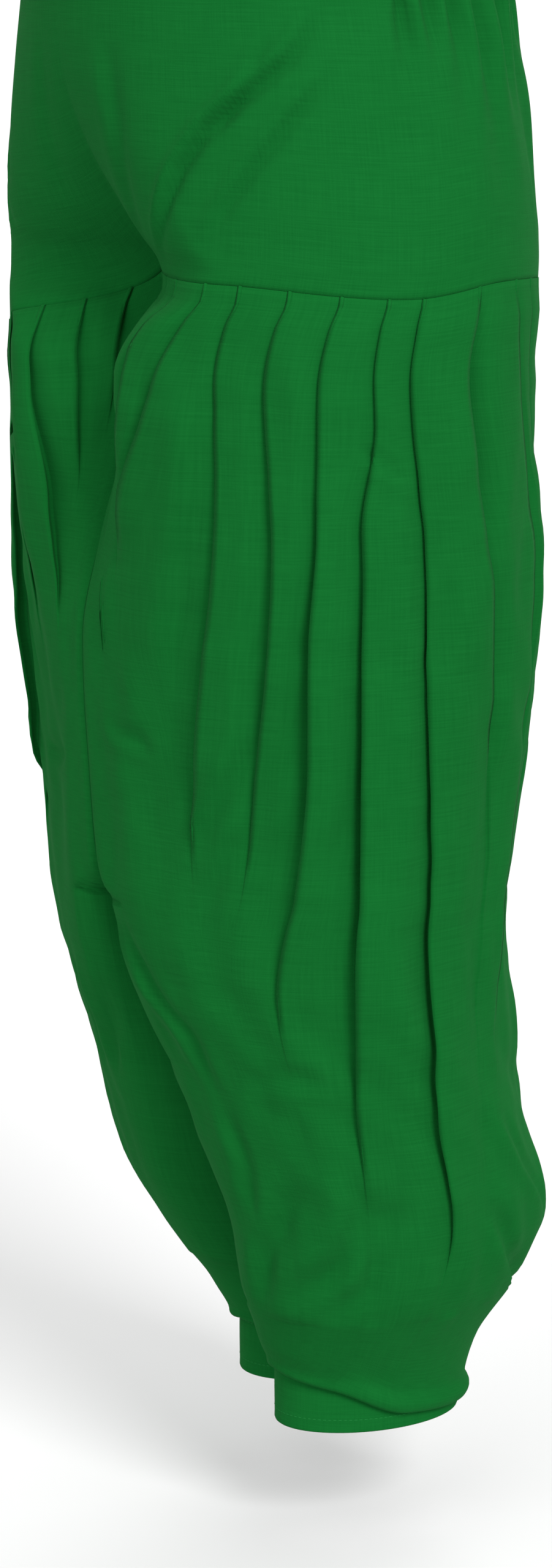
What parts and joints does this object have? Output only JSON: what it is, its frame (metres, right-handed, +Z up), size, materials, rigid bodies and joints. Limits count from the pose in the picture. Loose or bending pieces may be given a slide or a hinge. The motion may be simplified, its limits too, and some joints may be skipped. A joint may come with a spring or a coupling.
{
  "type": "patiala salwar",
  "caption": "Full, knife-pleated salwar trousers in worn form: drawstring casing, plain yoke, ballooning legs drawn into narrow ankle cuffs.",
  "frame": {"origin": "centre of the waist at the drawstring's level, where the wearer holds the garment up", "axes": "+Z up along the wearer, -Y the wearer's front, +X the wearer's left"},
  "size_m": [0.4298, 0.3173, 0.9666],
  "materials": {
    "cotton": "matte plain-weave cotton, leaf green"
  },
  "bodies": {
    "root": {"waist_casing": "cotton", "yoke": "cotton", "leg_left": "cotton", "leg_right": "cotton", "cuff_left": "cotton", "cuff_right": "cotton"}
  },
  "joints": []
}
